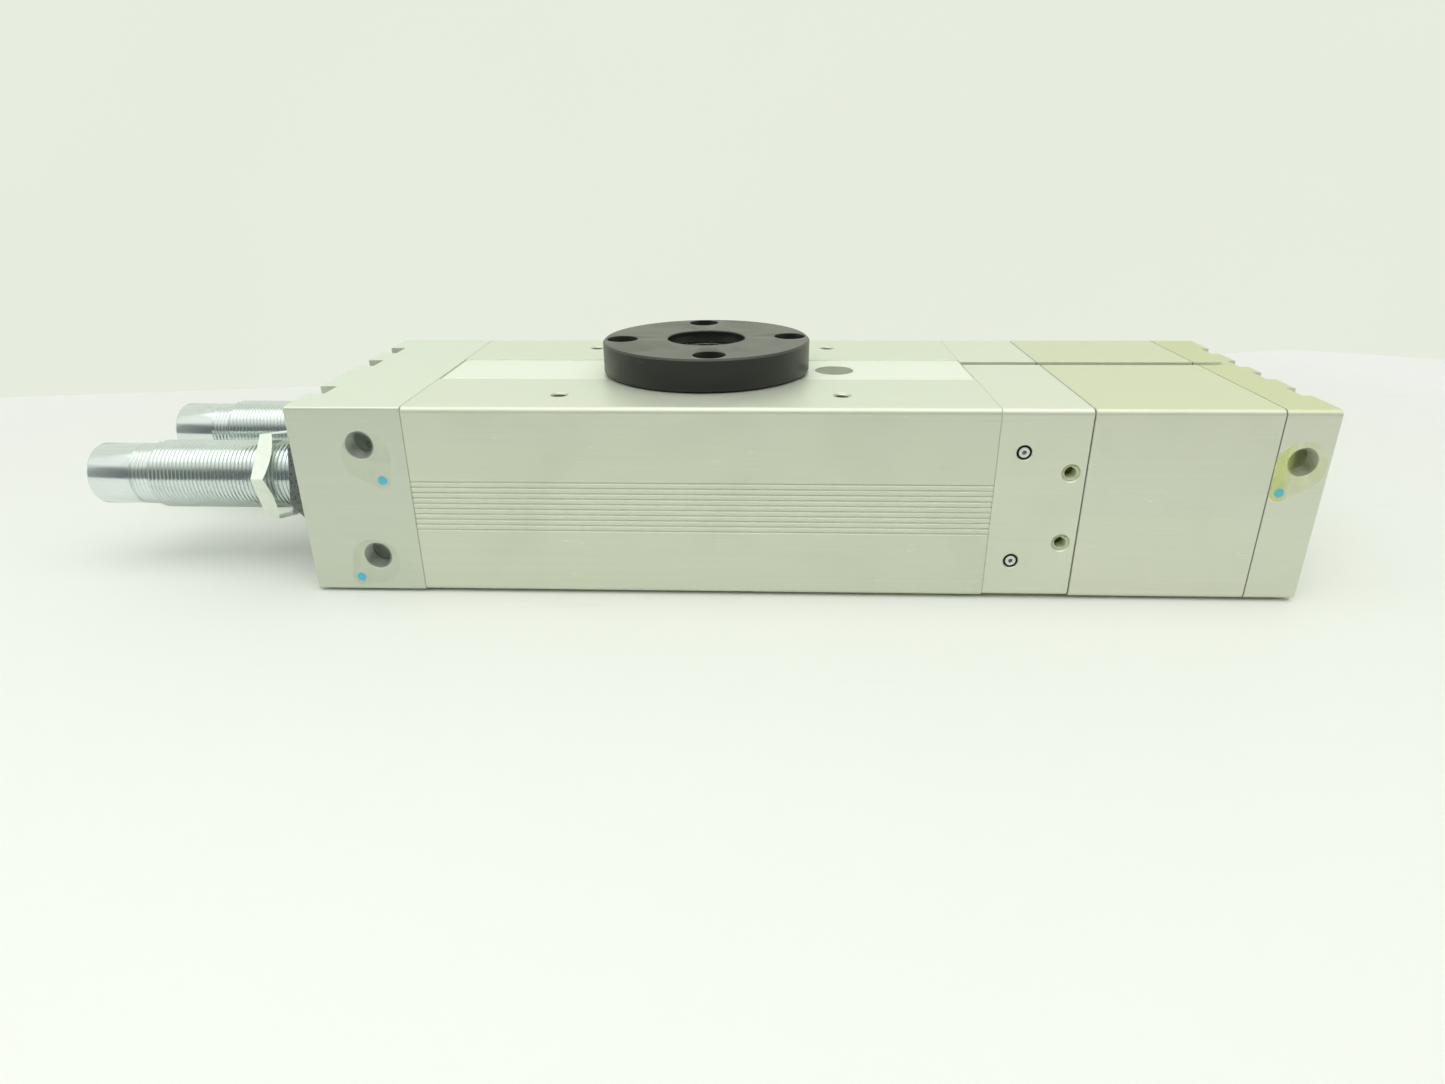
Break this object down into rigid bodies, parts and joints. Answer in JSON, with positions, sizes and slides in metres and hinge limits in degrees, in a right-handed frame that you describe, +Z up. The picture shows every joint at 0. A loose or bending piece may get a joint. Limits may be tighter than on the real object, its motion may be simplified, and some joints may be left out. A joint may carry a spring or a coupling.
{
  "type": "pneumatic semi-rotary drive",
  "caption": "Pneumatic twin-piston rotary drive with a black output flange, adjustable shock absorbers at one end and a stop-cylinder module at the other.",
  "frame": {"origin": "on the output axis in the plane of the underside, at the mouth of the underside centring bore", "axes": "+X along the body towards the stop module, +Y to the rear, +Z up along the output axis, out of the flange"},
  "size_m": [0.4461, 0.118, 0.0813],
  "materials": {
    "anodised_body": "fine brushed, clear anodised",
    "anodised_cap": "fine brushed, clear anodised",
    "anodised_module": "fine brushed, clear anodised, slightly yellowed",
    "black_flange": "black anodised, turned satin",
    "zinc_thread": "bright zinc plated",
    "zinc_nut": "bright zinc plated",
    "dark_sleeve": "zinc plated, grained",
    "screw_zinc": "zinc plated",
    "hard_steel": "ground",
    "spring_steel": "oiled",
    "piston_alloy": "machined",
    "black_rubber": "satin",
    "grey_plastic": "matt",
    "bronze_bush": "turned bronze",
    "plug_alloy": "matt"
  },
  "bodies": {
    "housing": {"main_housing": "anodised_body", "absorber_end_cap": "anodised_cap", "adapter_plate": "anodised_cap", "module_housing": "anodised_module", "module_end_cap": "anodised_module", "absorber_cap_screws": "screw_zinc", "module_cap_screws": "screw_zinc", "stop_sleeves": "dark_sleeve", "lock_nuts": "zinc_nut", "top_plug": "plug_alloy", "plate_plugs": "screw_zinc", "plate_plug_rings": "black_rubber", "absorber_cap_seals": "black_rubber", "plate_body_seals": "black_rubber", "plate_module_seals": "black_rubber", "module_cap_seals": "black_rubber", "stop_rod_bushes": "bronze_bush", "stop_rod_seals": "black_rubber", "stop_bumpers": "black_rubber", "shaft_seal": "black_rubber", "upper_bearing_outer_ring": "hard_steel", "lower_bearing_outer_ring": "hard_steel", "upper_housing_circlip": "spring_steel", "lower_housing_circlip": "spring_steel"},
    "output": {"output_flange": "black_flange", "pinion_shaft": "hard_steel", "flange_keys": "hard_steel", "upper_bearing_inner_ring": "hard_steel", "upper_bearing_balls": "hard_steel", "lower_bearing_inner_ring": "hard_steel", "lower_bearing_balls": "hard_steel", "upper_shaft_circlip": "spring_steel", "lower_shaft_circlip": "spring_steel"},
    "front_piston": {"front_rack_piston": "piston_alloy", "front_piston_seals": "black_rubber", "front_guide_bands": "grey_plastic", "front_piston_magnet": "grey_plastic"},
    "front_absorber": {"front_absorber_body": "zinc_thread", "front_absorber_gland": "bronze_bush", "front_pressure_tube": "hard_steel"},
    "front_buffer": {"front_buffer_rod": "hard_steel", "front_buffer_pad": "grey_plastic", "front_return_spring": "spring_steel"},
    "front_stop": {"front_stop_piston": "hard_steel", "front_stop_piston_seal": "black_rubber"},
    "rear_piston": {"rear_rack_piston": "piston_alloy", "rear_piston_seals": "black_rubber", "rear_guide_bands": "grey_plastic", "rear_piston_magnet": "grey_plastic"},
    "rear_absorber": {"rear_absorber_body": "zinc_thread", "rear_absorber_gland": "bronze_bush", "rear_pressure_tube": "hard_steel"},
    "rear_buffer": {"rear_buffer_rod": "hard_steel", "rear_buffer_pad": "grey_plastic", "rear_return_spring": "spring_steel"},
    "rear_stop": {"rear_stop_piston": "hard_steel", "rear_stop_piston_seal": "black_rubber"}
  },
  "joints": [
    {"name": "output_swing", "type": "hinge", "parent": "housing", "child": "output", "pos_m": [0, 0, 0.0345], "axis": [0, 0, 1], "range_deg": [-90, 90]},
    {"name": "front_piston_slide", "type": "slide", "parent": "housing", "child": "front_piston", "axis": [1, 0, 0], "range_m": [-0.026, 0.026]},
    {"name": "front_absorber_adjust", "type": "slide", "parent": "housing", "child": "front_absorber", "axis": [-1, 0, 0], "range_m": [0, 0.01]},
    {"name": "front_buffer_push", "type": "slide", "parent": "front_absorber", "child": "front_buffer", "axis": [-1, 0, 0], "range_m": [0, 0.015], "stiffness_N_per_m": 400, "deforming": ["front_return_spring"]},
    {"name": "front_stop_rod", "type": "slide", "parent": "housing", "child": "front_stop", "axis": [-1, 0, 0], "range_m": [0, 0.019]},
    {"name": "rear_piston_slide", "type": "slide", "parent": "housing", "child": "rear_piston", "axis": [1, 0, 0], "range_m": [-0.026, 0.026]},
    {"name": "rear_absorber_adjust", "type": "slide", "parent": "housing", "child": "rear_absorber", "axis": [-1, 0, 0], "range_m": [0, 0.01]},
    {"name": "rear_buffer_push", "type": "slide", "parent": "rear_absorber", "child": "rear_buffer", "axis": [-1, 0, 0], "range_m": [0, 0.015], "stiffness_N_per_m": 400, "deforming": ["rear_return_spring"]},
    {"name": "rear_stop_rod", "type": "slide", "parent": "housing", "child": "rear_stop", "axis": [-1, 0, 0], "range_m": [0, 0.019]}
  ],
  "couplings": [
    {"joint": "front_piston_slide", "follows": "output_swing", "m_per_rad": 0.0165},
    {"joint": "rear_piston_slide", "follows": "output_swing", "m_per_rad": -0.0165}
  ]
}
